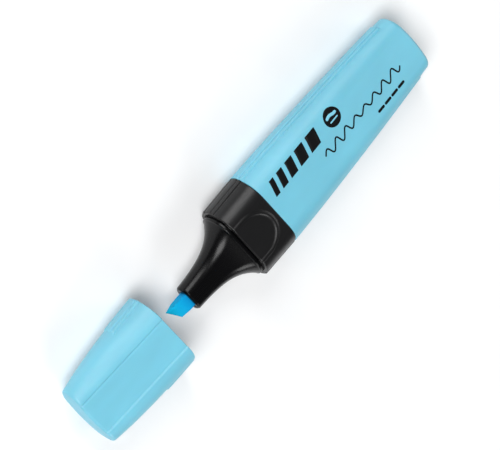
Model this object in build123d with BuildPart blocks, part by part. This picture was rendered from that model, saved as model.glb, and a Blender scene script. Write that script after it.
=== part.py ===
from build123d import *
import math
import os

# Flat-oval highlighter with a pull-off cap, in millimetres. The pen lies on a broad face: X runs along it,
# nib towards -X and rear end towards +X, Y runs across the broad faces and Z through them. The cap is drawn
# pulled off, in line ahead of the nib. The origin is at the bottom centre of the whole object.

# ---- outside sizes ----
barrel_length = 69.0
collar_length = 13.3
neck_length = 21.8
nib_reach = 7.6

seam_width = 26.6
shoulder_width = 26.2
rear_width = 20.8
cap_end_width = 21.6
body_thickness = 16.4
rear_thickness = 10.0
cap_end_thickness = 9.0
flat_width = 12.4

barrel_dome = 1.2
cap_dome = 0.8
rear_edge_radius = 1.2
front_edge_radius = 0.2
rim_edge_radius = 0.25
cap_edge_radius = 0.8
barrel_width_power = 1.6
cap_width_power = 2.6

# ---- ribbed strips on the narrow sides ----
rib_proud = 0.3
strip_height = 5.8
strip_rear_height = 4.6
strip_rear_margin = 5.0
centre_rib_share = 0.46
rib_gap = 0.45
cap_strip_length = 12.3

# ---- broad faces ----
barrel_face_skim = 0.05
cap_panel_depth = 0.25

# ---- walls ----
barrel_wall = 1.3
collar_lip = 1.25
collar_rear_wall = 1.0
cap_wall = 1.0
cap_end_wall = 1.6
neck_wall = 1.1
liner_wall = 0.7

# ---- collar and its thumb recess ----
spigot_length = 6.0
plug_depth = 7.0
recess_depth = 0.3
ridge_proud = 0.15
ridge_width = 1.0
recess_leg = 3.5
recess_margin = 2.5
lip_chamfer = 0.3
collar_edge_radius = 0.3

# ---- neck ----
bead_length = 1.3
bead_step = 0.3
bead_radius = 0.28
flare_length = 5.5
neck_crowding = 1.5
holder_width = 8.6
holder_thickness = 6.8
holder_flat = 2.6
neck_cavity_depth = 9.0
holder_chamfer = 0.45

# ---- nib ----
nib_width = 4.8
nib_thickness = 3.6
nib_corner = 0.6
nib_slant = 30.0
nib_edge = 0.5
nib_bevel = 30.0
nib_in_reservoir = 4.0

# ---- ink reservoir ----
wrap_film = 0.2
reservoir_side_gap = 0.6
reservoir_face_gap = 0.25
reservoir_front_gap = 1.5
reservoir_rear_gap = 5.0
hold_rib_wall = 0.8
hold_rib_spacing = 9.0

# ---- cap inside ----
mouth_depth = 2.0
liner_overlap = 3.0
liner_side_room = 0.5
liner_face_room = 0.1
liner_floor = 0.8
nib_room = 1.9
liner_socket_depth = 1.6
liner_socket_wall = 0.7

# ---- clearances ----
press_clearance = 0.03
cap_clearance = 0.08
liner_clearance = 0.08
reservoir_clearance = 0.1
seam_gap = 0.12
cap_seat_gap = 0.1
off_gap = 4.0

# ---- sizes that follow from their neighbours ----
cap_length = neck_length - cap_seat_gap + nib_reach + nib_room + liner_floor + cap_end_wall + cap_dome
recess_width = flat_width
recess_length = collar_length - recess_margin
liner_end_width = nib_width + 2 * (liner_wall + liner_side_room)
liner_end_thickness = nib_thickness + 2 * (liner_wall + liner_face_room)
liner_end_flat = nib_width / 2

# ---- stations along X ----
axis_height = body_thickness / 2 + ridge_proud
overall_length = barrel_length + collar_length + neck_length + nib_reach + off_gap + cap_length
rear_x = overall_length / 2
seam_x = rear_x - barrel_length
shoulder_x = seam_x - collar_length
neck_tip_x = shoulder_x - neck_length
nib_tip_x = neck_tip_x - nib_reach
cap_rim_x = nib_tip_x - off_gap
cap_end_x = cap_rim_x - cap_length
plug_end_x = shoulder_x + plug_depth
spigot_end_x = seam_x + spigot_length
cap_floor_depth = cap_length - cap_dome - cap_end_wall
liner_mouth_depth = neck_length - cap_seat_gap - liner_overlap
cap_travel = shoulder_x - cap_seat_gap - cap_rim_x

reservoir_front_x = shoulder_x + reservoir_front_gap
reservoir_rear_x = rear_x - barrel_dome - barrel_wall - reservoir_rear_gap
nib_rear_x = reservoir_front_x + nib_in_reservoir

# how far in from the outer surface the collar's front bore and the cap's mouth lie
plug_inset = collar_lip + press_clearance
mouth_inset = plug_inset - cap_clearance

# how far a cutter runs past the surface that it has to clear
past = 1.0


def cross_plane(x):
    """Plane across the pen at station x: its own x runs along Y, its own y along Z."""
    return Plane(origin=(x, 0, axis_height), x_dir=(0, 1, 0), z_dir=(1, 0, 0))


def flat_oval(x, width, thickness, flat):
    """Cross-section with flat broad faces that elliptical narrow sides join."""
    half_flat = flat / 2
    half_thickness = thickness / 2
    side = width / 2 - half_flat
    with BuildSketch(cross_plane(x)) as section:
        with BuildLine():
            Line((half_flat, half_thickness), (-half_flat, half_thickness))
            EllipticalCenterArc((-half_flat, 0), side, half_thickness, 90, arc_size=90)
            EllipticalCenterArc((-half_flat, 0), side, half_thickness, 180, arc_size=90)
            Line((-half_flat, -half_thickness), (half_flat, -half_thickness))
            EllipticalCenterArc((half_flat, 0), side, half_thickness, 270, arc_size=90)
            EllipticalCenterArc((half_flat, 0), side, half_thickness, 0, arc_size=90)
        make_face()
    return section.sketch


def blend(start, end, share):
    return start + (end - start) * share


def barrel_size(x):
    """Outer width and thickness of the barrel at x."""
    share = (x - seam_x) / barrel_length
    width = blend(seam_width, rear_width, math.copysign(abs(share) ** barrel_width_power, share))
    thickness = blend(body_thickness, rear_thickness, share)
    return width, thickness


def barrel_section(x, inset=0.0):
    """Outer section of the barrel at x, moved inwards by inset."""
    width, thickness = barrel_size(x)
    return flat_oval(x, width - 2 * inset, thickness - 2 * inset, flat_width - inset)


def collar_section(x, inset=0.0):
    """Outer section of the collar at x, moved inwards by inset."""
    width = blend(shoulder_width, seam_width, (x - shoulder_x) / collar_length)
    return flat_oval(x, width - 2 * inset, body_thickness - 2 * inset, flat_width - inset)


def cap_section(depth, inset=0.0):
    """Outer section of the cap at a depth from its rim, moved inwards by inset."""
    share = depth / cap_length
    width = blend(shoulder_width, cap_end_width, share ** cap_width_power)
    thickness = blend(body_thickness, cap_end_thickness, share)
    return flat_oval(cap_rim_x - depth, width - 2 * inset, thickness - 2 * inset, flat_width - inset)


def neck_oval(x, distance, inset=0.0):
    """The neck's outer section at a distance from the shoulder, drawn at x: a trumpet down to its tip."""
    flare = math.exp((bead_length - distance) / flare_length)
    base_inset = plug_inset + bead_step
    width = blend(holder_width, shoulder_width - 2 * base_inset, flare)
    thickness = blend(holder_thickness, body_thickness - 2 * base_inset, flare)
    flat = blend(holder_flat, flat_width - base_inset, flare)
    return flat_oval(x, width - 2 * inset, thickness - 2 * inset, flat - inset)


def neck_section(distance, inset=0.0):
    return neck_oval(shoulder_x - distance, distance, inset)


def stations(start, end, count):
    return [blend(start, end, step / (count - 1)) for step in range(count)]


def dome_radius(dome, half_width):
    """Radius of a ball that falls away by dome at half_width from the axis."""
    return (half_width ** 2 + dome ** 2) / (2 * dome)


def domed_slug(end_x, reach, dome):
    """Half profile of a round slug that ends at end_x in an arc and runs reach towards the nib."""
    ball_radius = dome_radius(dome, rear_width / 2)
    drop = ball_radius - math.sqrt(ball_radius ** 2 - seam_width ** 2)
    half_drop = ball_radius - math.sqrt(ball_radius ** 2 - (seam_width / 2) ** 2)
    with BuildSketch(Plane.XY.offset(axis_height)) as outline:
        with BuildLine():
            ThreePointArc((end_x, 0), (end_x - half_drop, seam_width / 2), (end_x - drop, seam_width))
            Polyline(
                (end_x - drop, seam_width),
                (end_x - reach, seam_width),
                (end_x - reach, 0),
                (end_x, 0),
            )
        make_face()
    return outline.sketch


def rib_bands(start_x, end_x, start_height, end_height):
    """Side view of a strip's three ribs between two stations; the strip may narrow along its length."""
    start_centre = centre_rib_share * start_height / 2
    end_centre = centre_rib_share * end_height / 2
    with BuildSketch(Plane.XZ) as bands:
        with BuildLine():
            Polyline(
                (start_x, axis_height - start_centre),
                (end_x, axis_height - end_centre),
                (end_x, axis_height + end_centre),
                (start_x, axis_height + start_centre),
                close=True,
            )
        make_face()
        for side in (-1, 1):
            with BuildLine():
                Polyline(
                    (start_x, axis_height + side * (start_centre + rib_gap)),
                    (end_x, axis_height + side * (end_centre + rib_gap)),
                    (end_x, axis_height + side * end_height / 2),
                    (start_x, axis_height + side * start_height / 2),
                    close=True,
                )
            make_face()
    return bands.sketch


def broad_face_wedge(side, start_x, start_height, end_x, end_height):
    """Side view of what lies beyond a broad face: heights are measured from the axis, side is 1 or -1."""
    with BuildSketch(Plane.XZ) as wedge:
        with BuildLine():
            Polyline(
                (start_x, axis_height + side * start_height),
                (end_x, axis_height + side * end_height),
                (end_x, axis_height + side * body_thickness),
                (start_x, axis_height + side * body_thickness),
                close=True,
            )
        make_face()
    return wedge.sketch


def arch(width, length, leg):
    """Plan of the thumb recess: straight legs from the collar's front edge, closed by half an ellipse."""
    with BuildSketch(Plane.XY) as plan:
        with BuildLine():
            Polyline(
                (shoulder_x + leg, width / 2),
                (shoulder_x, width / 2),
                (shoulder_x, -width / 2),
                (shoulder_x + leg, -width / 2),
            )
            EllipticalCenterArc((shoulder_x + leg, 0), length - leg, width / 2, -90, arc_size=180)
        make_face()
    return plan.sketch


def nib_section(x, clearance=0.0):
    with BuildSketch(cross_plane(x)) as section:
        RectangleRounded(nib_width + 2 * clearance, nib_thickness + 2 * clearance, nib_corner + clearance)
    return section.sketch


def reservoir_section(x, outset=0.0):
    """The reservoir's section at x, moved outwards by outset. It just fits the barrel's narrow rear end."""
    width, thickness = barrel_size(reservoir_rear_x)
    width -= 2 * (barrel_wall + wrap_film + reservoir_side_gap)
    thickness -= 2 * (barrel_wall + wrap_film + reservoir_face_gap)
    flat = flat_width - barrel_wall - reservoir_side_gap
    return flat_oval(x, width + 2 * outset, thickness + 2 * outset, flat)


pen_axis = Axis((0, 0, axis_height), (1, 0, 0))


# ---- barrel ----
with BuildPart() as barrel_ribs:
    loft([barrel_section(x, -rib_proud) for x in stations(seam_x + seam_gap, rear_x - barrel_dome, 6)])
    bands = rib_bands(seam_x + seam_gap, rear_x - strip_rear_margin, strip_height, strip_rear_height)
    extrude(bands, amount=seam_width, both=True, mode=Mode.INTERSECT)

with BuildPart() as hold_ribs:
    rib_stations = stations(spigot_end_x + past, rear_x - barrel_wall, 4)
    loft([barrel_section(x, barrel_wall / 2) for x in rib_stations])
    with BuildSketch(Plane.XY) as hold_rib_plan:
        with Locations(((spigot_end_x + rear_x) / 2, 0)):
            with GridLocations(0, hold_rib_spacing, 1, 2):
                Rectangle(barrel_length, hold_rib_wall)
    extrude(amount=2 * body_thickness, both=True, mode=Mode.INTERSECT)
    envelope = reservoir_section(seam_x, wrap_film + reservoir_clearance)
    extrude(envelope, amount=reservoir_rear_x - seam_x, mode=Mode.SUBTRACT)

with BuildPart() as barrel:
    loft([barrel_section(x) for x in stations(seam_x + seam_gap, rear_x, 7)])
    fillet(barrel.edges().group_by(Axis.X)[0], front_edge_radius)
    revolve(domed_slug(rear_x, barrel_length + past, barrel_dome), axis=pen_axis, mode=Mode.INTERSECT)
    end_edges = barrel.edges().filter_by_position(Axis.X, rear_x - 3 * barrel_dome, rear_x)
    fillet(end_edges, rear_edge_radius)
    for side in (-1, 1):
        wedge = broad_face_wedge(
            side,
            seam_x,
            body_thickness / 2 - barrel_face_skim,
            rear_x,
            rear_thickness / 2 - barrel_face_skim,
        )
        extrude(wedge, amount=seam_width, both=True, mode=Mode.SUBTRACT)
    add(barrel_ribs.part)
    inner_end_x = rear_x - barrel_dome - barrel_wall
    loft([barrel_section(x, barrel_wall) for x in stations(seam_x, inner_end_x, 6)], mode=Mode.SUBTRACT)
    add(hold_ribs.part)
barrel.part.label = "barrel"

# ---- grip collar ----
with BuildPart() as collar_ribs:
    loft([collar_section(x, -rib_proud) for x in (shoulder_x, seam_x)])
    extrude(
        rib_bands(shoulder_x, seam_x, strip_height, strip_height),
        amount=seam_width,
        both=True,
        mode=Mode.INTERSECT,
    )

spigot_inset = barrel_wall + press_clearance
with BuildPart() as grip_collar:
    loft([collar_section(x) for x in (shoulder_x, seam_x)])
    fillet(grip_collar.edges().group_by(Axis.X)[0], collar_edge_radius)
    fillet(grip_collar.edges().group_by(Axis.X)[-1], front_edge_radius)
    add(collar_ribs.part)
    top = Plane.XY.offset(axis_height + body_thickness / 2)
    with BuildSketch(top.offset(ridge_proud)) as ridge_plan:
        add(arch(recess_width + 2 * ridge_width, recess_length + ridge_width, recess_leg))
        add(arch(recess_width, recess_length, recess_leg), mode=Mode.SUBTRACT)
    extrude(amount=-ridge_proud - recess_depth)
    mirror(about=Plane.XY.offset(axis_height))
    for side in (-1, 1):
        with BuildSketch(Plane.XY.offset(axis_height + side * body_thickness / 2)):
            add(arch(recess_width, recess_length, recess_leg))
        extrude(amount=-side * recess_depth, mode=Mode.SUBTRACT)
    loft([barrel_section(x, spigot_inset) for x in stations(seam_x, spigot_end_x, 3)])
    loft([collar_section(x, collar_lip) for x in (shoulder_x, plug_end_x)], mode=Mode.SUBTRACT)
    mouth_bevel = (
        collar_section(shoulder_x, collar_lip - lip_chamfer),
        flat_oval(
            shoulder_x + lip_chamfer,
            shoulder_width - 2 * collar_lip,
            body_thickness - 2 * collar_lip,
            flat_width - collar_lip,
        ),
    )
    loft(mouth_bevel, mode=Mode.SUBTRACT)
    rear_bore = barrel_section(spigot_end_x, spigot_inset + collar_rear_wall)
    extrude(rear_bore, amount=plug_end_x - spigot_end_x, mode=Mode.SUBTRACT)
grip_collar.part.label = "grip_collar"

# ---- nib holder ----
# the sections lie closer together where the trumpet curves most
neck_shares = [share ** neck_crowding for share in stations(0, 1, 8)]
neck_sections = [neck_section(blend(bead_length, neck_length, share)) for share in neck_shares]
with BuildPart() as nib_holder:
    loft([collar_section(x, plug_inset) for x in (plug_end_x, shoulder_x)])
    extrude(collar_section(shoulder_x, plug_inset), amount=-bead_length)
    fillet(nib_holder.edges().group_by(Axis.X)[0], bead_radius)
    loft(neck_sections)
    chamfer(nib_holder.edges().group_by(Axis.X)[0], holder_chamfer)
    loft([collar_section(x, plug_inset + neck_wall) for x in (plug_end_x, shoulder_x)], mode=Mode.SUBTRACT)
    # the cavity runs straight through the bead, which stays whole round it
    extrude(neck_oval(shoulder_x, bead_length, neck_wall), amount=-bead_length, mode=Mode.SUBTRACT)
    cavity = [neck_section(d, neck_wall) for d in stations(bead_length, neck_cavity_depth, 5)]
    loft(cavity, mode=Mode.SUBTRACT)
    extrude(
        nib_section(neck_tip_x, press_clearance),
        amount=neck_length,
        mode=Mode.SUBTRACT,
    )
nib_holder.part.label = "nib_holder"

# ---- nib: a felt bar cut on a slant, with a bevel on each broad side of its writing edge ----
slant = math.radians(nib_slant)
edge_direction = Vector(math.sin(slant), -math.cos(slant), 0)
edge_forward = Vector(-math.cos(slant), -math.sin(slant), 0)
long_point = Vector(nib_tip_x, nib_width / 2, axis_height)
edge_plane = Plane(origin=long_point, x_dir=edge_forward, z_dir=edge_direction)
bevel_run = (nib_thickness - nib_edge) / 2 / math.tan(math.radians(nib_bevel))
with BuildPart() as nib:
    extrude(nib_section(nib_rear_x), amount=nib_tip_x - nib_rear_x)
    with BuildSketch(edge_plane) as nib_cut:
        with BuildLine():
            Polyline(
                (nib_reach, nib_thickness),
                (-bevel_run * 2, nib_thickness),
                (-bevel_run, nib_thickness / 2),
                (0, nib_edge / 2),
                (0, -nib_edge / 2),
                (-bevel_run, -nib_thickness / 2),
                (-bevel_run * 2, -nib_thickness),
                (nib_reach, -nib_thickness),
                close=True,
            )
        make_face()
    extrude(amount=nib_reach + nib_width, both=True, mode=Mode.SUBTRACT)
nib.part.label = "nib"

# ---- ink reservoir and its wrap ----
reservoir_length = reservoir_rear_x - reservoir_front_x
with BuildPart() as ink_reservoir:
    extrude(reservoir_section(reservoir_front_x), amount=reservoir_length)
    extrude(nib_section(reservoir_front_x), amount=nib_in_reservoir, mode=Mode.SUBTRACT)
ink_reservoir.part.label = "ink_reservoir"

with BuildPart() as reservoir_wrap:
    extrude(reservoir_section(reservoir_front_x, wrap_film), amount=reservoir_length)
    extrude(reservoir_section(reservoir_front_x), amount=reservoir_length, mode=Mode.SUBTRACT)
reservoir_wrap.part.label = "reservoir_wrap"

# ---- cap shell ----
with BuildPart() as cap_ribs:
    loft([cap_section(depth, -rib_proud) for depth in stations(0, cap_length - cap_dome, 5)])
    bands = rib_bands(cap_rim_x, cap_rim_x - cap_strip_length, strip_height, strip_height)
    extrude(bands, amount=seam_width, both=True, mode=Mode.INTERSECT)

with BuildPart() as cap_shell:
    loft([cap_section(depth) for depth in stations(0, cap_length, 6)])
    fillet(cap_shell.edges().group_by(Axis.X)[-1], rim_edge_radius)
    ball_radius = dome_radius(cap_dome, cap_end_width / 2)
    with Locations((cap_end_x + ball_radius, 0, axis_height)):
        Sphere(ball_radius, mode=Mode.INTERSECT)
    end_edges = cap_shell.edges().filter_by_position(Axis.X, cap_end_x, cap_end_x + 3 * cap_dome)
    fillet(end_edges, cap_edge_radius)
    for side in (-1, 1):
        wedge = broad_face_wedge(
            side,
            cap_rim_x,
            body_thickness / 2 - cap_panel_depth,
            cap_end_x,
            cap_end_thickness / 2 - cap_panel_depth,
        )
        extrude(wedge, amount=flat_width / 2, both=True, mode=Mode.SUBTRACT)
    add(cap_ribs.part)
    mouth = flat_oval(
        cap_rim_x,
        shoulder_width - 2 * mouth_inset,
        body_thickness - 2 * mouth_inset,
        flat_width - mouth_inset,
    )
    extrude(mouth, amount=-mouth_depth, mode=Mode.SUBTRACT)
    cavity_depths = stations(mouth_depth, cap_floor_depth, 5)
    loft([cap_section(depth, cap_wall) for depth in cavity_depths], mode=Mode.SUBTRACT)
    socket_clearance = liner_socket_wall + press_clearance
    socket = flat_oval(
        cap_rim_x - cap_floor_depth,
        liner_end_width + 2 * socket_clearance,
        liner_end_thickness + 2 * socket_clearance,
        liner_end_flat,
    )
    extrude(socket, amount=liner_socket_depth)
    pocket = flat_oval(
        cap_rim_x - cap_floor_depth,
        liner_end_width + 2 * press_clearance,
        liner_end_thickness + 2 * press_clearance,
        liner_end_flat,
    )
    extrude(pocket, amount=liner_socket_depth, mode=Mode.SUBTRACT)
cap_shell.part.label = "cap_shell"

# ---- cap liner: a cup that closes on the neck round the nib ----
holder_depth = neck_length - cap_seat_gap
socket_top_depth = cap_floor_depth - liner_socket_depth
with BuildPart() as cap_liner:
    for wall, floor_depth, mode in (
        (liner_wall, cap_floor_depth, Mode.ADD),
        (0, cap_floor_depth - liner_floor, Mode.SUBTRACT),
    ):
        grip_distance = neck_length - liner_overlap
        grip = neck_oval(cap_rim_x - liner_mouth_depth, grip_distance, -liner_clearance - wall)
        shoulder = neck_oval(cap_rim_x - holder_depth, grip_distance, -liner_clearance - wall)
        end = flat_oval(
            cap_rim_x - socket_top_depth,
            liner_end_width - 2 * (liner_wall - wall),
            liner_end_thickness - 2 * (liner_wall - wall),
            liner_end_flat,
        )
        extrude(grip, amount=liner_mouth_depth - holder_depth, mode=mode)
        loft([shoulder, end], mode=mode)
        extrude(end, amount=socket_top_depth - floor_depth, mode=mode)
cap_liner.part.label = "cap_liner"

os.makedirs("parts", exist_ok=True)
pieces = (
    barrel,
    grip_collar,
    nib_holder,
    nib,
    ink_reservoir,
    reservoir_wrap,
    cap_shell,
    cap_liner,
)
for piece in pieces:
    export_step(piece.part, f"parts/{piece.part.label}.step")
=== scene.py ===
import math

import bmesh
import bpy
from mathutils import Matrix, Vector


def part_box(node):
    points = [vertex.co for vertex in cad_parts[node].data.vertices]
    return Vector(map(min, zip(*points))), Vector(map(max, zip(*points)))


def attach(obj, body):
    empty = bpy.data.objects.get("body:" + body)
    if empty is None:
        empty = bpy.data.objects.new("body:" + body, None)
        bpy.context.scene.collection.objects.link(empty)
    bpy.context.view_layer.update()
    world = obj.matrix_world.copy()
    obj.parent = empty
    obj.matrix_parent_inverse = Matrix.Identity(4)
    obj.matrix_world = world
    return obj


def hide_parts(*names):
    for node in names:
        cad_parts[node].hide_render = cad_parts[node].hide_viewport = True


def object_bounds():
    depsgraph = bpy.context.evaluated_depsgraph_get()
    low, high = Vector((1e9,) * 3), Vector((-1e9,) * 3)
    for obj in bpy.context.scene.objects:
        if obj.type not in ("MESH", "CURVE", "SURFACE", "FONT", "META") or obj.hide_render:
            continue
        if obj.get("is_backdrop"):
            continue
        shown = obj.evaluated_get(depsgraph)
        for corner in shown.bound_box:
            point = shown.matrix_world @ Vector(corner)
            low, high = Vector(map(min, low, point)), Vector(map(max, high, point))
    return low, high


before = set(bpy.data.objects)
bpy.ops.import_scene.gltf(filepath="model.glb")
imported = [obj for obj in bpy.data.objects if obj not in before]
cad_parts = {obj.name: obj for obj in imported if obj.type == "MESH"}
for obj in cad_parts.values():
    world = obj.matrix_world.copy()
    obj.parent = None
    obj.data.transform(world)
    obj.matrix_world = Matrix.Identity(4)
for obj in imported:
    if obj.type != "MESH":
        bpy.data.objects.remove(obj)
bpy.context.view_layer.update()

# ---- the CAD frame, in metres ----
MM = 0.001
barrel_low, barrel_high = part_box("barrel")
collar_low, collar_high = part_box("grip_collar")
holder_low, holder_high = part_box("nib_holder")
nib_low, nib_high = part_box("nib")
cap_low, cap_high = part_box("cap_shell")

SEAM_GAP = 0.12 * MM
RIDGE_PROUD = 0.15 * MM
seam_x = barrel_low.x - SEAM_GAP
rear_x = barrel_high.x
shoulder_x = collar_low.x
spigot_end_x = collar_high.x
neck_tip_x = holder_low.x
plug_end_x = holder_high.x
nib_tip_x = nib_low.x
cap_end_x = cap_low.x
cap_rim_x = cap_high.x
axis_z = (collar_low.z + collar_high.z) / 2
body_thickness = collar_high.z - collar_low.z - 2 * RIDGE_PROUD
barrel_length = rear_x - seam_x
collar_length = seam_x - shoulder_x
neck_length = shoulder_x - neck_tip_x
cap_length = cap_rim_x - cap_end_x

# ---- shape sizes that the boxes don't give ----
SEAM_WIDTH = 26.6 * MM
SHOULDER_WIDTH = 26.2 * MM
REAR_WIDTH = 20.8 * MM
CAP_END_WIDTH = 21.6 * MM
REAR_THICKNESS = 10.0 * MM
CAP_END_THICKNESS = 9.0 * MM
FLAT_WIDTH = 12.4 * MM
BARREL_POWER = 1.6
CAP_POWER = 2.6
BARREL_DOME = 1.2 * MM
CAP_DOME = 0.8 * MM
BARREL_WALL = 1.3 * MM
CAP_WALL = 1.0 * MM
CAP_END_WALL = 1.6 * MM
COLLAR_LIP = 1.25 * MM
PLUG_INSET = 1.28 * MM
MOUTH_INSET = 1.2 * MM
MOUTH_DEPTH = 2.0 * MM
NECK_WALL = 1.1 * MM
BEAD_LENGTH = 1.3 * MM
BEAD_STEP = 0.3 * MM
FLARE_LENGTH = 5.5 * MM
HOLDER_WIDTH = 8.6 * MM
HOLDER_THICKNESS = 6.8 * MM
HOLDER_FLAT = 2.6 * MM
STRIP_HEIGHT = 5.8 * MM
STRIP_REAR_HEIGHT = 4.6 * MM
STRIP_REAR_MARGIN = 5.0 * MM
CAP_STRIP_LENGTH = 12.3 * MM
RIB_PROUD = 0.3 * MM
PRESS_CLEARANCE = 0.03 * MM
COLLAR_REAR_WALL = 1.0 * MM
COLLAR_EDGE = 0.3 * MM
LIP_CHAMFER = 0.3 * MM
REAR_EDGE = 1.2 * MM
CAP_EDGE = 0.8 * MM
RIM_EDGE = 0.25 * MM
HOLDER_CHAMFER = 0.45 * MM
NECK_CAVITY_DEPTH = 9.0 * MM


def blend(start, end, share):
    return start + (end - start) * share


def smooth(value, low, high):
    """0 below low, 1 above high, with an eased step between."""
    t = min(max((value - low) / (high - low), 0.0), 1.0)
    return t * t * (3 - 2 * t)


def spread(start, end, count):
    return [blend(start, end, i / (count - 1)) for i in range(count)]


# ---- cross-sections ----
STRIP_STEPS = 40
SIDE_STEPS = 34
FLAT_STEPS = 24
STRIP_SPAN = 1.16
STRIP_LIMIT = 0.75
FLAT_CROWDING = 1.6
OFF_STRIP = 2.0


class Section:
    """One flat oval: flat broad faces joined by elliptical narrow sides, which have ribbed strips."""

    def __init__(self, x, width, thickness, flat, strip=STRIP_HEIGHT):
        self.x = x
        self.half_thickness = thickness / 2
        self.half_flat = flat / 2
        self.side = width / 2 - flat / 2
        self.half_strip = strip / 2

    def inset(self, amount, x=None):
        section = Section(self.x if x is None else x, 0, 0, 0)
        section.half_thickness = self.half_thickness - amount
        section.half_flat = self.half_flat - amount / 2
        section.side = self.side - amount / 2
        section.half_strip = self.half_strip
        return section

    def quarter(self):
        """Points from a narrow side's middle to a broad face's: y, z, normal y, normal z, strip share."""
        points = []
        strip_top = min(STRIP_SPAN * self.half_strip, STRIP_LIMIT * self.half_thickness)
        start = math.asin(strip_top / self.half_thickness)
        for i in range(STRIP_STEPS):
            z = strip_top * i / STRIP_STEPS
            points.append((math.asin(z / self.half_thickness), z / self.half_strip))
        for angle in spread(start, math.pi / 2, SIDE_STEPS):
            points.append((angle, OFF_STRIP))
        out = []
        for angle, share in points:
            y = self.half_flat + self.side * math.cos(angle)
            z = self.half_thickness * math.sin(angle)
            normal = Vector((math.cos(angle) / self.side, math.sin(angle) / self.half_thickness))
            normal.normalize()
            out.append((y, z, normal.x, normal.y, share))
        for i in range(1, FLAT_STEPS + 1):
            # the steps crowd towards the flat's edge, where the cap's panel begins
            share = i / FLAT_STEPS
            y = self.half_flat * (1 - share ** FLAT_CROWDING)
            out.append((y, self.half_thickness, 0.0, 1.0, OFF_STRIP))
        return out

    def ring(self, relief=None):
        """The closed outline as world points, moved out along its normal by relief(x, y, z, strip share)."""
        quarter = []
        for y, z, normal_y, normal_z, share in self.quarter():
            lift = relief(self.x, y, z, share) if relief else 0.0
            quarter.append((y + normal_y * lift, z + normal_z * lift))
        back = quarter[-2::-1]
        flat = [(y, z) for y, z in quarter]
        flat += [(-y, z) for y, z in back]
        flat += [(-y, -z) for y, z in quarter[1:]]
        flat += [(y, -z) for y, z in back[:-1]]
        return [Vector((self.x, y, axis_z + z)) for y, z in flat]


def barrel_at(x):
    share = (x - seam_x) / barrel_length
    width = blend(SEAM_WIDTH, REAR_WIDTH, max(share, 0.0) ** BARREL_POWER)
    thickness = blend(body_thickness, REAR_THICKNESS, share)
    strip = blend(STRIP_HEIGHT, STRIP_REAR_HEIGHT, share)
    return Section(x, width, thickness, FLAT_WIDTH, strip)


def collar_at(x):
    width = blend(SHOULDER_WIDTH, SEAM_WIDTH, (x - shoulder_x) / collar_length)
    return Section(x, width, body_thickness, FLAT_WIDTH)


def cap_at(depth):
    share = max(depth, 0.0) / cap_length
    width = blend(SHOULDER_WIDTH, CAP_END_WIDTH, share ** CAP_POWER)
    thickness = blend(body_thickness, CAP_END_THICKNESS, share)
    return Section(cap_rim_x - depth, width, thickness, FLAT_WIDTH)


def neck_at(distance, x=None):
    flare = math.exp((BEAD_LENGTH - distance) / FLARE_LENGTH)
    base = PLUG_INSET + BEAD_STEP
    width = blend(HOLDER_WIDTH, SHOULDER_WIDTH - 2 * base, flare)
    thickness = blend(HOLDER_THICKNESS, body_thickness - 2 * base, flare)
    flat = blend(HOLDER_FLAT, FLAT_WIDTH - base, flare)
    return Section(shoulder_x - distance if x is None else x, width, thickness, flat, 0.6 * thickness)


# ---- mesh helpers ----
def link(name, mesh, material, body):
    obj = bpy.data.objects.new(name, mesh)
    bpy.context.scene.collection.objects.link(obj)
    mesh.materials.append(material)
    for polygon in mesh.polygons:
        polygon.use_smooth = True
    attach(obj, body)
    return obj


def closed_mesh(name, verts, faces):
    """A mesh whose faces all look outwards."""
    mesh = bpy.data.meshes.new(name)
    mesh.from_pydata(verts, [], faces)
    work = bmesh.new()
    work.from_mesh(mesh)
    bmesh.ops.recalc_face_normals(work, faces=work.faces)
    work.to_mesh(mesh)
    work.free()
    return mesh


def skin(name, rings, closed=False):
    """A mesh through rings of equal length. An open stack is closed with a fan at each end."""
    count = len(rings[0])
    verts = [point for ring in rings for point in ring]
    faces = []
    pairs = len(rings) if closed else len(rings) - 1
    for i in range(pairs):
        low = i * count
        high = ((i + 1) % len(rings)) * count
        for j in range(count):
            k = (j + 1) % count
            faces.append((low + j, low + k, high + k, high + j))
    if not closed:
        for i, flip in ((0, True), (len(rings) - 1, False)):
            centre = sum(rings[i], Vector()) / count
            verts.append(centre)
            tip = len(verts) - 1
            low = i * count
            for j in range(count):
                k = (j + 1) % count
                faces.append((tip, low + k, low + j) if flip else (tip, low + j, low + k))
    return closed_mesh(name, verts, faces)


RUN_IN_SHARES = (0.35, 0.7)
EDGE_STEPS = 8
DOME_SCALES = (0.985, 0.95, 0.88, 0.78, 0.66, 0.53, 0.4, 0.27, 0.14, 0.04)


def tail(near, far, end_x, direction, dome, half_width, edge, relief=None):
    """Rings from section near over a rounded edge into the domed end; far is the section drawn at the end."""

    def outline(amount):
        first = near.inset(amount).ring(relief)
        last = far.inset(amount).ring(relief)

        def point(i, x):
            share = (x - near.x) / (far.x - near.x)
            return Vector((x, blend(first[i].y, last[i].y, share), blend(first[i].z, last[i].z, share)))

        return point

    deep = outline(edge)
    count = len(near.ring())
    face = []
    for i in range(count):
        spot = deep(i, far.x)
        off = math.hypot(spot.y, spot.z - axis_z)
        face.append(end_x - direction * dome * (off / half_width) ** 2)
    rings = []
    whole = outline(0.0)
    for share in RUN_IN_SHARES:
        rings.append([whole(i, blend(near.x, face[i] - direction * edge, share)) for i in range(count)])
    for step in range(EDGE_STEPS + 1):
        turn = math.pi / 2 * step / EDGE_STEPS
        point = outline(edge * (1 - math.cos(turn)))
        rings.append([point(i, face[i] - direction * edge * (1 - math.sin(turn))) for i in range(count)])
    rim = rings[-1]
    for scale in DOME_SCALES:
        ring = []
        for point in rim:
            y = point.y * scale
            z = (point.z - axis_z) * scale
            x = end_x - direction * dome * (math.hypot(y, z) / half_width) ** 2
            ring.append(Vector((x, y, axis_z + z)))
        rings.append(ring)
    return rings


def shrink(ring, x, scales):
    """Flat rings at x that close a hollow's floor."""
    return [
        [Vector((x, point.y * scale, axis_z + (point.z - axis_z) * scale)) for point in ring]
        for scale in scales
    ]


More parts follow.
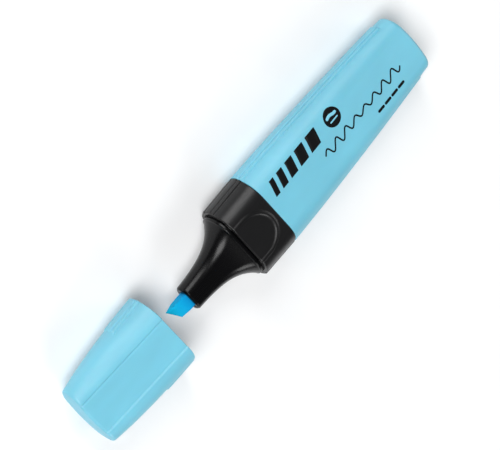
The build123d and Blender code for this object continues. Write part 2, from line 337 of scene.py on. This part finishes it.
# ---- relief on the surfaces ----
CENTRE_SHARE = 0.46
GAP_SHARE = 0.155
RIB_SOFT = 0.045
GROOVE_SHARE = 1.09
GROOVE_SPREAD = 0.035
GROOVE_DEPTH = 0.6
VALLEY_SPREAD = 0.05
VALLEY_DEPTH = 0.5
RAMP_LENGTH = 0.7 * MM


def bell(value, middle, width, power=2):
    """1 at the middle, falling away to both sides over about the width."""
    return math.exp(-(((value - middle) / width) ** power))


def rib_profile(share):
    """Height of the strip's ribs, as a share of their full height, at a share of the strip's half height."""
    if share >= OFF_STRIP:
        return 0.0
    centre = 1 - smooth(share, CENTRE_SHARE - RIB_SOFT, CENTRE_SHARE + RIB_SOFT / 2)
    outer_low = CENTRE_SHARE + GAP_SHARE
    outer = smooth(share, outer_low - RIB_SOFT / 2, outer_low + RIB_SOFT)
    outer *= 1 - smooth(share, 1.0 - RIB_SOFT, 1.0 + RIB_SOFT)
    groove = bell(share, GROOVE_SHARE, GROOVE_SPREAD)
    valley = bell(share - CENTRE_SHARE, GAP_SHARE / 2, VALLEY_SPREAD)
    return centre + outer - GROOVE_DEPTH * groove - VALLEY_DEPTH * valley


def barrel_relief(x, y, z, share):
    ramp = 1 - smooth(x, rear_x - STRIP_REAR_MARGIN - RAMP_LENGTH, rear_x - STRIP_REAR_MARGIN)
    return RIB_PROUD * rib_profile(share) * ramp


PANEL_DEPTH = 0.25 * MM
PANEL_STEP_IN = 0.55 * MM
PANEL_STEP_OUT = 0.05 * MM
CREASE_DEPTH = 0.1 * MM
CREASE_IN = 0.5 * MM
CREASE_WIDTH = 0.3 * MM


def cap_relief(x, y, z, share):
    """Ribs on the narrow sides; on the broad faces a sunk panel with a crease along each of its edges."""
    depth = cap_rim_x - x
    ramp = 1 - smooth(depth, CAP_STRIP_LENGTH - RAMP_LENGTH, CAP_STRIP_LENGTH)
    step = smooth(abs(y), FLAT_WIDTH / 2 - PANEL_STEP_IN, FLAT_WIDTH / 2 + PANEL_STEP_OUT)
    panel = PANEL_DEPTH * (1 - step)
    panel += CREASE_DEPTH * bell(abs(y) - FLAT_WIDTH / 2, -CREASE_IN, CREASE_WIDTH)
    return RIB_PROUD * rib_profile(share) * ramp - (panel if share >= OFF_STRIP else 0.0)


RECESS_WIDTH = 12.4 * MM
RECESS_LEG = 3.5 * MM
RECESS_LENGTH = 10.8 * MM
RECESS_DEPTH = 0.14 * MM
RECESS_EDGE_IN = 1.1 * MM
RECESS_EDGE_OUT = 0.3 * MM
RIDGE_WIDTH = 1.0 * MM
RIDGE_LIFT = 1.5
RIDGE_SPREAD = 0.52


def arch_distance(x, y):
    """Signed distance, roughly, from the thumb recess's outline: below 0 inside it."""
    along = x - shoulder_x - RECESS_LEG
    across = abs(y)
    if along <= 0:
        return across - RECESS_WIDTH / 2
    long_axis = RECESS_LENGTH - RECESS_LEG
    reach = math.hypot(along / long_axis, across / (RECESS_WIDTH / 2))
    if reach < 1e-6:
        return -RECESS_WIDTH / 2
    size = math.hypot(along, across) / reach
    return (reach - 1) * size


def collar_relief(x, y, z, share):
    lift = RIB_PROUD * rib_profile(share)
    if share >= OFF_STRIP:
        away = arch_distance(x, y)
        ridge = bell(away, RIDGE_WIDTH / 2, RIDGE_SPREAD * RIDGE_WIDTH, power=4)
        recess = 1 - smooth(away, -RECESS_EDGE_IN, RECESS_EDGE_OUT)
        lift += RIDGE_LIFT * RIDGE_PROUD * ridge - RECESS_DEPTH * recess
    return lift


# ---- materials ----
def srgb(red, green, blue):
    """Linear colour of an 8-bit screen colour, by the standard curve."""
    levels = [level / 255 for level in (red, green, blue)]
    linear = [level / 12.92 if level < 0.0405 else ((level + 0.055) / 1.055) ** 2.4 for level in levels]
    return tuple(linear) + (1.0,)


NOISE_LOW = 0.3
NOISE_HIGH = 0.7


class Finish:
    """A node material under construction: textures in object space, in metres."""

    def __init__(self, name, roughness, **sockets):
        self.material = bpy.data.materials.new(name)
        self.material.use_nodes = True
        self.tree = self.material.node_tree
        self.shader = self.tree.nodes["Principled BSDF"]
        self.shader.inputs["Roughness"].default_value = roughness
        for socket, value in sockets.items():
            self.shader.inputs[socket.replace("_", " ")].default_value = value
        self.place = self.tree.nodes.new("ShaderNodeTexCoord").outputs["Object"]
        self.normal = None

    def link(self, source, target):
        self.tree.links.new(source, target)

    def noise(self, size, detail=3.0, stretch=(1, 1, 1), rough=0.55):
        """Noise whose features are about size metres across, stretched along the axes."""
        mapping = self.tree.nodes.new("ShaderNodeMapping")
        mapping.inputs["Scale"].default_value = [1 / (size * s) for s in stretch]
        self.link(self.place, mapping.inputs["Vector"])
        node = self.tree.nodes.new("ShaderNodeTexNoise")
        node.inputs["Scale"].default_value = 1.0
        node.inputs["Detail"].default_value = detail
        node.inputs["Roughness"].default_value = rough
        self.link(mapping.outputs["Vector"], node.inputs["Vector"])
        return node.outputs["Fac"]

    def along(self, start, end, grain, share):
        """0 at station start along X and 1 at station end, broken up by a share of grain."""
        split = self.tree.nodes.new("ShaderNodeSeparateXYZ")
        self.link(self.place, split.inputs["Vector"])
        way = self.tree.nodes.new("ShaderNodeMapRange")
        way.inputs["From Min"].default_value = start
        way.inputs["From Max"].default_value = end
        self.link(split.outputs["X"], way.inputs["Value"])
        mix = self.tree.nodes.new("ShaderNodeMix")
        mix.inputs[0].default_value = share
        self.link(way.outputs["Result"], mix.inputs[2])
        self.link(grain, mix.inputs[3])
        return mix.outputs[0]

    def ramp(self, source, stops):
        node = self.tree.nodes.new("ShaderNodeValToRGB")
        elements = node.color_ramp.elements
        while len(elements) < len(stops):
            elements.new(0.5)
        for element, (position, colour) in zip(elements, stops):
            element.position = position
            element.color = colour
        self.link(source, node.inputs["Fac"])
        return node.outputs["Color"]

    def colour(self, source, stops):
        self.link(self.ramp(source, stops), self.shader.inputs["Base Color"])

    def roughen(self, source, low, high):
        node = self.tree.nodes.new("ShaderNodeMapRange")
        node.inputs["From Min"].default_value = NOISE_LOW
        node.inputs["From Max"].default_value = NOISE_HIGH
        node.inputs["To Min"].default_value = low
        node.inputs["To Max"].default_value = high
        self.link(source, node.inputs["Value"])
        self.link(node.outputs["Result"], self.shader.inputs["Roughness"])

    def bump(self, source, depth, strength=1.0):
        node = self.tree.nodes.new("ShaderNodeBump")
        node.inputs["Distance"].default_value = depth
        node.inputs["Strength"].default_value = strength
        self.link(source, node.inputs["Height"])
        if self.normal is not None:
            self.link(self.normal, node.inputs["Normal"])
        self.normal = node.outputs["Normal"]
        self.link(self.normal, self.shader.inputs["Normal"])


def tint(colour, factor):
    return tuple(min(c * factor, 1.0) for c in colour[:3]) + (1.0,)


def moulded(name, colour, low, high, grain=0.12 * MM, depth=0.0015 * MM, mottle=0.05, **sockets):
    """Injection-moulded plastic: faint flow mottling, a fine satin grain and hairline handling scratches."""
    finish = Finish(name, (low + high) / 2, **sockets)
    flow = finish.noise(9 * MM, 2.0, (2.4, 1, 1))
    finish.colour(flow, ((0.3, tint(colour, 1 - mottle)), (0.7, tint(colour, 1 + mottle))))
    scratches = finish.noise(0.5 * MM, 4.0, (9, 0.35, 0.35), 0.7)
    finish.roughen(scratches, low, high)
    finish.bump(finish.noise(2.5 * MM, 1.0), depth * 4)
    finish.bump(finish.noise(grain, 2.0), depth)
    finish.bump(scratches, depth * 0.6)
    return finish.material


PASTEL = srgb(110, 192, 215)
MILKY = {"Specular_IOR_Level": 1.0, "Subsurface_Weight": 0.12, "Subsurface_Scale": 1.2 * MM}
pastel_body = moulded("pastel_body_plastic", PASTEL, 0.44, 0.52, **MILKY)
pastel_cap = moulded("pastel_cap_plastic", PASTEL, 0.42, 0.5, **MILKY)
collar_black = moulded(
    "collar_black_plastic",
    srgb(14, 14, 15),
    0.32,
    0.4,
    mottle=0.12,
    depth=0.002 * MM,
    IOR=1.46,
)
neck_black = moulded(
    "neck_black_plastic",
    srgb(3, 3, 4),
    0.24,
    0.3,
    mottle=0.2,
    depth=0.0003 * MM,
    IOR=1.34,
)
liner_plastic = moulded(
    "liner_natural_plastic",
    srgb(226, 230, 232),
    0.38,
    0.5,
    Subsurface_Weight=0.25,
    Subsurface_Scale=1.0 * MM,
)

felt = Finish("nib_felt_fibre", 0.8, Sheen_Weight=0.03, Specular_IOR_Level=0.12)
strands = felt.noise(0.07 * MM, 3.0, (14, 1, 1), 0.7)
strands_and_tip_highlight = felt.along(neck_tip_x, nib_tip_x, strands, 0.45)
# lighter towards the writing edge: a painted highlight on the chisel's bevel facet, broken up by the felt's
# strand grain
felt.colour(strands_and_tip_highlight, ((0.2, srgb(0, 142, 206)), (0.5, srgb(0, 163, 212)), (0.8, srgb(10, 188, 224))))
felt.bump(felt.noise(0.5 * MM, 2.0), 0.02 * MM)
felt.bump(strands, 0.012 * MM)
nib_felt = felt.material

fibre = Finish("reservoir_soaked_fibre", 0.9, Sheen_Weight=0.2)
hairs = fibre.noise(0.12 * MM, 4.0, (20, 1, 1), 0.7)
fibre.colour(hairs, ((0.3, srgb(52, 160, 212)), (0.7, srgb(120, 205, 235))))
fibre.bump(hairs, 0.03 * MM)
reservoir_fibre = fibre.material

film = Finish("wrap_clear_film", 0.12, Transmission_Weight=0.85, IOR=1.5)
wrinkles = film.noise(2.2 * MM, 3.0, (3, 1, 1))
film.colour(wrinkles, ((0.3, srgb(225, 236, 242)), (0.7, srgb(242, 248, 250))))
film.bump(wrinkles, 0.05 * MM)
wrap_film = film.material

ink = Finish("print_ink_black", 0.5, Specular_IOR_Level=0.15)
ink.colour(ink.noise(0.2 * MM, 3.0), ((0.3, srgb(6, 7, 8)), (0.7, srgb(12, 13, 15))))
ink.bump(ink.noise(0.08 * MM, 2.0), 0.002 * MM)
ink_black = ink.material

pale = Finish("print_ink_pale", 0.42)
pale.colour(pale.noise(0.2 * MM, 3.0), ((0.3, srgb(120, 198, 222)), (0.7, srgb(136, 208, 230))))
pale.bump(pale.noise(0.08 * MM, 2.0), 0.002 * MM)
ink_pale = pale.material

paper = Finish("floor_pale_card", 0.85)
paper.colour(paper.noise(30 * MM, 2.0), ((0.3, srgb(243, 244, 245)), (0.7, srgb(248, 248, 248))))
paper.bump(paper.noise(0.4 * MM, 3.0), 0.01 * MM)
floor_card = paper.material


# ---- barrel ----
EDGE = 0.2 * MM
DOME_START = 4.0 * MM
STRIP_END_FROM = 0.75 * MM
STRIP_END_TO = 0.05 * MM
STRIP_END_RINGS = 11
BEFORE_STRIP_END = 0.9 * MM


def rounded_edge(section_at, x, into, edge, relief=None, steps=5):
    """Rings that round an outer edge at x; into is the way from the edge into the body along X."""
    rings = []
    for step in range(steps):
        turn = math.pi / 2 * step / (steps - 1)
        spot = x + into * edge * (1 - math.sin(turn))
        rings.append(section_at(spot).inset(edge * (1 - math.cos(turn))).ring(relief))
    return rings


def barrel_skin():
    front = seam_x + SEAM_GAP
    inner_end = rear_x - BARREL_DOME - BARREL_WALL
    floor = barrel_at(inner_end).inset(BARREL_WALL).ring()
    rings = shrink(floor, inner_end, (0.04, 0.5, 0.9))
    rings += [barrel_at(x).inset(BARREL_WALL).ring() for x in spread(inner_end, front, 14)]
    rings += rounded_edge(barrel_at, front, 1, EDGE, barrel_relief)[::-1]
    strip_end = rear_x - STRIP_REAR_MARGIN
    xs = spread(front + 1.5 * EDGE, strip_end - BEFORE_STRIP_END, 46)
    xs += spread(strip_end - STRIP_END_FROM, strip_end + STRIP_END_TO, STRIP_END_RINGS)
    xs.append(rear_x - DOME_START)
    rings += [barrel_at(x).ring(barrel_relief) for x in xs]
    near = barrel_at(rear_x - DOME_START)
    rings += tail(near, barrel_at(rear_x), rear_x, 1, BARREL_DOME, REAR_WIDTH / 2, REAR_EDGE)
    return skin("barrel_skin", rings)


barrel = link("barrel_shell", barrel_skin(), pastel_body, "pen")
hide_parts("barrel")


# ---- grip collar ----
def collar_skin():
    spigot = BARREL_WALL + PRESS_CLEARANCE
    rings = rounded_edge(collar_at, shoulder_x, 1, COLLAR_EDGE, collar_relief)[::-1]
    outer = spread(shoulder_x + 0.4 * MM, seam_x - 0.3 * MM, 56)
    rings += [collar_at(x).ring(collar_relief) for x in outer]
    rings += rounded_edge(collar_at, seam_x, -1, EDGE, collar_relief)
    for x in spread(seam_x, spigot_end_x, 5):
        rings.append(barrel_at(x).inset(spigot).ring())
    for x in spread(spigot_end_x, plug_end_x, 6):
        rings.append(barrel_at(x).inset(spigot + COLLAR_REAR_WALL).ring())
    for x in spread(plug_end_x, shoulder_x + LIP_CHAMFER, 6):
        rings.append(collar_at(x).inset(COLLAR_LIP).ring())
    rings.append(collar_at(shoulder_x).inset(COLLAR_LIP - LIP_CHAMFER).ring())
    return skin("collar_skin", rings, closed=True)


collar = link("grip_collar_shell", collar_skin(), collar_black, "pen")
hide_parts("grip_collar")


# ---- nib holder with its trumpet-shaped neck ----
NIB_WIDTH = nib_high.y - nib_low.y
NIB_THICKNESS = nib_high.z - nib_low.z
NIB_CORNER = 0.6 * MM
BEAD_STEPS = 16


def box_edge(angle, width, thickness, corner):
    """Point where a ray at this angle leaves a rounded rectangle."""
    low, high = 0.0, width
    for _ in range(30):
        middle = (low + high) / 2
        y = abs(middle * math.cos(angle)) - (width / 2 - corner)
        z = abs(middle * math.sin(angle)) - (thickness / 2 - corner)
        outside = math.hypot(max(y, 0), max(z, 0)) > corner if max(y, z) > 0 else False
        low, high = (low, middle) if outside else (middle, high)
    return low * math.cos(angle), low * math.sin(angle)


def nib_hole(like, x, gap):
    """The nib's bore at x, with one point towards each point of a holder ring."""
    ring = []
    for point in like:
        angle = math.atan2(point.z - axis_z, point.y)
        y, z = box_edge(angle, NIB_WIDTH + 2 * gap, NIB_THICKNESS + 2 * gap, NIB_CORNER + gap)
        ring.append(Vector((x, y, axis_z + z)))
    return ring


def holder_skin():
    cavity_end = shoulder_x - NECK_CAVITY_DEPTH
    rings = [collar_at(x).inset(PLUG_INSET).ring() for x in spread(plug_end_x, shoulder_x + 0.1 * MM, 5)]
    for step in range(1, BEAD_STEPS):
        turn = blend(-1.0, 1.0, step / BEAD_STEPS)
        section = collar_at(shoulder_x).inset(PLUG_INSET + BEAD_STEP * (1 - math.sqrt(1 - turn * turn)))
        section.x = shoulder_x - BEAD_LENGTH * (1 + math.sin(math.pi / 2 * turn)) / 2
        rings.append(section.ring())
    rings += [neck_at(d).ring() for d in spread(BEAD_LENGTH, neck_length - HOLDER_CHAMFER - 0.08 * MM, 64)]
    rings.append(neck_at(neck_length - HOLDER_CHAMFER).inset(0.02 * MM).ring())
    tip = neck_at(neck_length).inset(HOLDER_CHAMFER - 0.05 * MM)
    tip.x = neck_tip_x + 0.05 * MM
    rings.append(tip.ring())
    tip = neck_at(neck_length).inset(HOLDER_CHAMFER)
    rings.append(tip.ring())
    hole = nib_hole(tip.ring(), neck_tip_x, PRESS_CLEARANCE)
    for x in (neck_tip_x, neck_tip_x + 0.2 * MM, cavity_end):
        rings.append([Vector((x, point.y, point.z)) for point in hole])
    # the cavity runs straight through the bead, which stays whole round it
    for d in spread(NECK_CAVITY_DEPTH, BEAD_LENGTH, 7):
        rings.append(neck_at(d).inset(NECK_WALL).ring())
    rings.append(neck_at(BEAD_LENGTH).inset(NECK_WALL, shoulder_x).ring())
    for x in (shoulder_x + 0.01 * MM, plug_end_x):
        rings.append(collar_at(x).inset(PLUG_INSET + NECK_WALL).ring())
    return skin("holder_skin", rings, closed=True)


holder = link("nib_holder_neck", holder_skin(), neck_black, "pen")
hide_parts("nib_holder")


# ---- chisel nib ----
NIB_ANGLE = math.radians(30)
NIB_EDGE = 0.5 * MM
EDGE_HOLLOW = 0.12 * MM
BEVEL_SOFT = 0.12 * MM
FUZZ = 0.012 * MM
CORNER_STEPS = 8
NIB_BODY_RINGS = 8


def nib_skin():
    """The slant of the cut and the bevel on each broad side share one angle."""
    slant = math.tan(NIB_ANGLE)
    across = math.cos(NIB_ANGLE)
    bevel = math.tan(NIB_ANGLE)
    half_width = NIB_WIDTH / 2
    half_thick = NIB_THICKNESS / 2
    half_edge = NIB_EDGE / 2
    outline = []
    for corner_y, corner_z, start in ((1, 1, 0), (-1, 1, 90), (-1, -1, 180), (1, -1, 270)):
        centre_y = corner_y * (half_width - NIB_CORNER)
        centre_z = corner_z * (half_thick - NIB_CORNER)
        for step in range(CORNER_STEPS + 1):
            turn = math.radians(start + 90 * step / CORNER_STEPS)
            outline.append((centre_y + NIB_CORNER * math.cos(turn), centre_z + NIB_CORNER * math.sin(turn)))
    dense = []
    for i, (y, z) in enumerate(outline):
        dense.append((y, z))
        next_y, next_z = outline[(i + 1) % len(outline)]
        if math.hypot(next_y - y, next_z - z) > 1.5 * MM:
            dense += [(blend(y, next_y, s), blend(z, next_z, s)) for s in spread(0, 1, 16)[1:-1]]
    straight = neck_tip_x + 1.0 * MM
    rings = []
    for x in spread(nib_high.x, straight, NIB_BODY_RINGS):
        rings.append([Vector((x, y, axis_z + z)) for y, z in dense])
    for share in spread(0, 1, 44)[1:]:
        ring = []
        for y, z in dense:
            hollow = EDGE_HOLLOW * (1 - (y / half_width) ** 2)
            cut = nib_tip_x + (half_width - y) * slant + hollow
            x = blend(straight, cut, share)
            room = half_edge + (x - cut) * across * bevel
            gap = half_thick - room
            fall = (gap + math.sqrt(gap * gap + BEVEL_SOFT * BEVEL_SOFT)) / 2
            height = half_thick - fall + BEVEL_SOFT * BEVEL_SOFT / (4 * half_thick)
            height = max(height, half_edge * 0.9)
            fuzz = FUZZ * math.sin(9100 * x + 7000 * y) * math.sin(8300 * y + 5200 * z)
            ring.append(Vector((x, y, axis_z + z * height / half_thick + fuzz)))
        rings.append(ring)
    last = rings[-1]
    for ahead, scale in ((0.03, 0.8), (0.045, 0.45), (0.05, 0.1)):
        ring = []
        for point in last:
            y = point.y * (1 - 0.01 * ahead)
            ring.append(Vector((point.x - ahead * MM, y, axis_z + (point.z - axis_z) * scale)))
        rings.append(ring)
    low_x = min(p.x for p in rings[-1])
    shift = nib_tip_x - low_x
    for ring in rings[NIB_BODY_RINGS:]:
        for point in ring:
            point.x += shift * (straight - point.x) / (straight - low_x)
    return skin("nib_skin", rings)


nib = link("chisel_nib", nib_skin(), nib_felt, "pen")
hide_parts("nib")


# ---- cap ----
CAP_TAIL = 3.0 * MM
POCKET_WIDTH = 7.26 * MM
POCKET_THICKNESS = 5.26 * MM
POCKET_FLAT = 2.4 * MM
SOCKET_WALL = 0.7 * MM
SOCKET_DEPTH = 1.6 * MM


def cap_section_at(x):
    return cap_at(cap_rim_x - x)


def cap_skin():
    floor_depth = cap_length - CAP_DOME - CAP_END_WALL
    floor_x = cap_rim_x - floor_depth
    near = cap_at(cap_length - CAP_TAIL)
    far = cap_at(cap_length)
    socket_top_x = floor_x + SOCKET_DEPTH
    pocket = Section(floor_x, POCKET_WIDTH, POCKET_THICKNESS, POCKET_FLAT, POCKET_FLAT)
    socket_width = POCKET_WIDTH + 2 * SOCKET_WALL
    socket_thickness = POCKET_THICKNESS + 2 * SOCKET_WALL
    socket = Section(floor_x, socket_width, socket_thickness, POCKET_FLAT, POCKET_FLAT)
    rings = shrink(pocket.ring(), floor_x, (0.04, 0.5))
    for section, xs in ((pocket, (floor_x, socket_top_x)), (socket, (socket_top_x, floor_x))):
        for x in xs:
            section.x = x
            rings.append(section.ring())
    for depth in spread(floor_depth, MOUTH_DEPTH + 0.01 * MM, 12):
        rings.append(cap_at(depth).inset(CAP_WALL).ring())
    for x in (cap_rim_x - MOUTH_DEPTH, cap_rim_x - 0.9 * MM, cap_rim_x - 0.2 * MM):
        rings.append(cap_at(0).inset(MOUTH_INSET, x).ring())
    rings.append(cap_at(0).inset(MOUTH_INSET - 0.12 * MM, cap_rim_x).ring())
    rings += rounded_edge(cap_section_at, cap_rim_x, -1, RIM_EDGE, cap_relief)[::-1]
    depths = spread(0.4 * MM, CAP_STRIP_LENGTH - BEFORE_STRIP_END, 16)
    depths += spread(CAP_STRIP_LENGTH - STRIP_END_FROM, CAP_STRIP_LENGTH + STRIP_END_TO, STRIP_END_RINGS)
    depths += spread(CAP_STRIP_LENGTH + 0.8 * MM, cap_length - CAP_TAIL, 22)
    rings += [cap_at(depth).ring(cap_relief) for depth in depths]
    rings += tail(near, far, cap_end_x, -1, CAP_DOME, CAP_END_WIDTH / 2, CAP_EDGE, cap_relief)
    return skin("cap_skin", rings)


cap = link("cap_shell_skin", cap_skin(), pastel_cap, "cap")
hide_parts("cap_shell")


# ---- CAD pieces that keep their shape ----
def refinish(node, material):
    obj = bpy.data.objects[node]
    for held in obj.material_slots:
        held.material = material


refinish("cap_liner", liner_plastic)
refinish("ink_reservoir", reservoir_fibre)
refinish("reservoir_wrap", wrap_film)


# ---- generic printed marks on the upper broad face ----
def face_z(x, y):
    section = barrel_at(x)
    over = max(abs(y) - section.half_flat, 0.0) / section.side
    return axis_z + section.half_thickness * math.sqrt(1 - over * over)


FILM_TOP = 0.018 * MM
FILM_BOTTOM = -0.02 * MM
OVERPRINT_TOP = 0.027 * MM
OVERPRINT_BOTTOM = 0.01 * MM


def slab(name, rows, material, top=FILM_TOP, bottom=FILM_BOTTOM):
    """A thin printed film over a grid of (x, y) rows, closed on all sides."""
    high = len(rows)
    wide = len(rows[0])
    verts = []
    for lift in (top, bottom):
        verts += [Vector((x, y, face_z(x, y) + lift)) for row in rows for x, y in row]
    below = high * wide
    faces = []
    for i in range(high - 1):
        for j in range(wide - 1):
            a = i * wide + j
            faces.append((a, a + 1, a + wide + 1, a + wide))
            faces.append((below + a + wide, below + a + wide + 1, below + a + 1, below + a))
    border = list(range(wide)) + [i * wide + wide - 1 for i in range(1, high)]
    border += list(range(below - 2, below - wide - 1, -1)) + [i * wide for i in range(high - 2, 0, -1)]
    for a, b in zip(border, border[1:] + border[:1]):
        faces.append((b, a, a + below, b + below))
    return link(name, closed_mesh(name, verts, faces), material, "pen")


def ribbon(points, width):
    """Rows of a stroke of even width along points, with rounded ends."""
    rows = []
    count = len(points)
    for i, (x, y) in enumerate(points):
        ax, ay = points[max(i - 1, 0)]
        bx, by = points[min(i + 1, count - 1)]
        run = math.hypot(bx - ax, by - ay)
        nx, ny = -(by - ay) / run, (bx - ax) / run
        rows.append((x, y, nx, ny, 1.0))
    ends = []
    for row, sign in ((rows[0], -1), (rows[-1], 1)):
        x, y, nx, ny, _ = row
        cap_rows = []
        for turn in spread(0.15, math.pi / 2, 5)[:-1]:
            reach = width / 2 * math.cos(turn)
            cap_rows.append((x + sign * ny * reach, y - sign * nx * reach, nx, ny, math.sin(turn)))
        ends.append(cap_rows)
    rows = ends[0] + rows + ends[1][::-1]
    sides = spread(-1, 1, 5)
    return [
        [(x + nx * width / 2 * side * size, y + ny * width / 2 * side * size) for side in sides]
        for x, y, nx, ny, size in rows
    ]


def disc(x, y, radius):
    """Rows of a round mark, which stop just short of a point at each end."""
    rows = []
    for angle in spread(0.04, math.pi - 0.04, 33):
        along = -radius * math.cos(angle)
        half = radius * math.sin(angle)
        rows.append([(x + along, y + half * side) for side in spread(-1, 1, 13)])
    return rows


def bar(x, y, width, height, lean):
    """Rows of a leaning bar; x is the middle of its foot towards -Y."""
    rows = []
    for share in spread(0, 1, 31):
        middle = x + lean * share
        rows.append([(middle + width * (side - 0.5), y + height * share) for side in spread(0, 1, 5)])
    return rows


# stroke-width gauge: leaning bars that widen in even steps
BAR_COUNT = 5
BAR_WIDTH = 1.9
BAR_WIDENING = 0.62
BAR_SPACE = 1.5 * MM
BAR_FOOT_Y = 3.2 * MM
BAR_HEIGHT = 5.0 * MM
BAR_LEAN = 1.4 * MM
gauge_x = shoulder_x + 16.5 * MM
for step in range(BAR_COUNT):
    width = (BAR_WIDTH + BAR_WIDENING * step) * MM
    rows = bar(gauge_x + width / 2, BAR_FOOT_Y, width, BAR_HEIGHT, BAR_LEAN)
    slab(f"print_gauge_bar_{step + 1}", rows, ink_black)
    gauge_x += width + BAR_SPACE

# round mark with a stroke pictogram
disc_x = shoulder_x + 46.0 * MM
disc_y = 5.6 * MM
slab("print_disc", disc(disc_x, disc_y, 3.1 * MM), ink_black)
stroke = []
for share in spread(0, 1, 12):
    stroke.append((disc_x + blend(-1.7, 1.7, share) * MM, disc_y + (0.75 + 0.25 * math.sin(5 * share)) * MM))
slab("print_disc_stroke", ribbon(stroke, 1.0 * MM), ink_pale, OVERPRINT_TOP, OVERPRINT_BOTTOM)
line = [(disc_x + blend(-1.5, 1.5, share) * MM, disc_y - 0.95 * MM) for share in spread(0, 1, 6)]
slab("print_disc_line", ribbon(line, 0.45 * MM), ink_pale, OVERPRINT_TOP, OVERPRINT_BOTTOM)

# a leaning wave in place of the script line, whose bends stay wider than its stroke
WAVE_HEIGHT = 1.35 * MM
WAVE_TURNS = 50
WAVE_LEAN = 0.3
WAVE_MIDDLE_Y = 0.9 * MM
WAVE_STROKE = 0.52 * MM
flourish = []
for share in spread(0, 1, 260):
    swell = 0.8 + 0.2 * math.sin(9 * share)
    rise = WAVE_HEIGHT * swell * math.sin(WAVE_TURNS * share)
    x = shoulder_x + blend(36.5, 73.0, share) * MM + WAVE_LEAN * rise
    flourish.append((x, rise - WAVE_MIDDLE_Y))
slab("print_flourish", ribbon(flourish, WAVE_STROKE), ink_black)

# small dashes towards the rear
DASH_COUNT = 4
DASH_PITCH = 3.3
DASH_LENGTH = 2.1
DASH_Y = -5.4 * MM
DASH_STROKE = 0.9 * MM
for step in range(DASH_COUNT):
    start = shoulder_x + (58.5 + DASH_PITCH * step) * MM
    dash = [(start + blend(0, DASH_LENGTH, share) * MM, DASH_Y) for share in spread(0, 1, 5)]
    slab(f"print_dash_{step + 1}", ribbon(dash, DASH_STROKE), ink_black)


# ---- floor, light and camera ----
floor_mesh = bpy.data.meshes.new("floor")
work = bmesh.new()
bmesh.ops.create_grid(work, x_segments=24, y_segments=24, size=3.0)
work.to_mesh(floor_mesh)
work.free()
floor = bpy.data.objects.new("floor", floor_mesh)
floor_mesh.materials.append(floor_card)
bpy.context.scene.collection.objects.link(floor)
floor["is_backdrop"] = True

# the pen seen from above its upper broad face, swung a little towards its nib and pitched towards +Y
CAMERA_DISTANCE = 0.9
ROLL_ALONG = 0.645
ROLL_ACROSS = 0.764
swing = math.radians(15.0)
pitch = math.radians(26.5)
along = Vector((math.cos(swing), math.sin(swing) * math.sin(pitch), math.sin(swing) * math.cos(pitch)))
towards = Vector((-math.sin(swing), math.cos(swing) * math.sin(pitch), math.cos(swing) * math.cos(pitch)))
across = Vector((0, -math.cos(pitch), math.sin(pitch)))
right = (ROLL_ALONG * along + ROLL_ACROSS * across).normalized()
up = towards.cross(right)
low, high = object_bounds()
centre = (Vector(low) + Vector(high)) / 2

camera_data = bpy.data.cameras.new("photo_camera")
camera_data.lens = 222.0
camera_data.clip_end = 10.0
camera = bpy.data.objects.new("photo_camera", camera_data)
bpy.context.scene.collection.objects.link(camera)
basis = Matrix((right, up, towards)).transposed()
camera.matrix_world = Matrix.Translation(centre + towards * CAMERA_DISTANCE) @ basis.to_4x4()
bpy.context.scene.camera = camera


def softbox(name, direction, distance, size_x, size_y, power):
    """A soft rectangular light that faces the object from this direction: sizes in metres, power in watts."""
    data = bpy.data.lights.new(name, "AREA")
    data.shape = "RECTANGLE"
    data.size = size_x
    data.size_y = size_y
    data.energy = power
    light = bpy.data.objects.new(name, data)
    bpy.context.scene.collection.objects.link(light)
    direction = direction.normalized()
    facing = direction.to_track_quat("Z", "Y").to_matrix().to_4x4()
    light.matrix_world = Matrix.Translation(centre + direction * distance) @ facing


softbox("key_left", Vector((0.2, 0.80, 0.57)), 1.5, 0.5, 0.9, 8.6)
softbox("rim_right", Vector((-0.42, -0.78, 0.46)), 1.4, 0.6, 0.6, 6.5)
softbox("arch_glint", Vector((0.70, -0.43, 0.57)), 1.4, 0.55, 0.45, 2.8)
softbox("front_soft", Vector((-0.5, 0.25, 0.83)), 1.7, 1.0, 1.0, 24.5)

world = bpy.data.worlds.new("studio_world")
bpy.context.scene.world = world
world.use_nodes = True
world.node_tree.nodes["Background"].inputs["Color"].default_value = (0.95, 0.97, 1.0, 1.0)
world.node_tree.nodes["Background"].inputs["Strength"].default_value = 0.1
bpy.context.scene.view_settings.view_transform = "Standard"
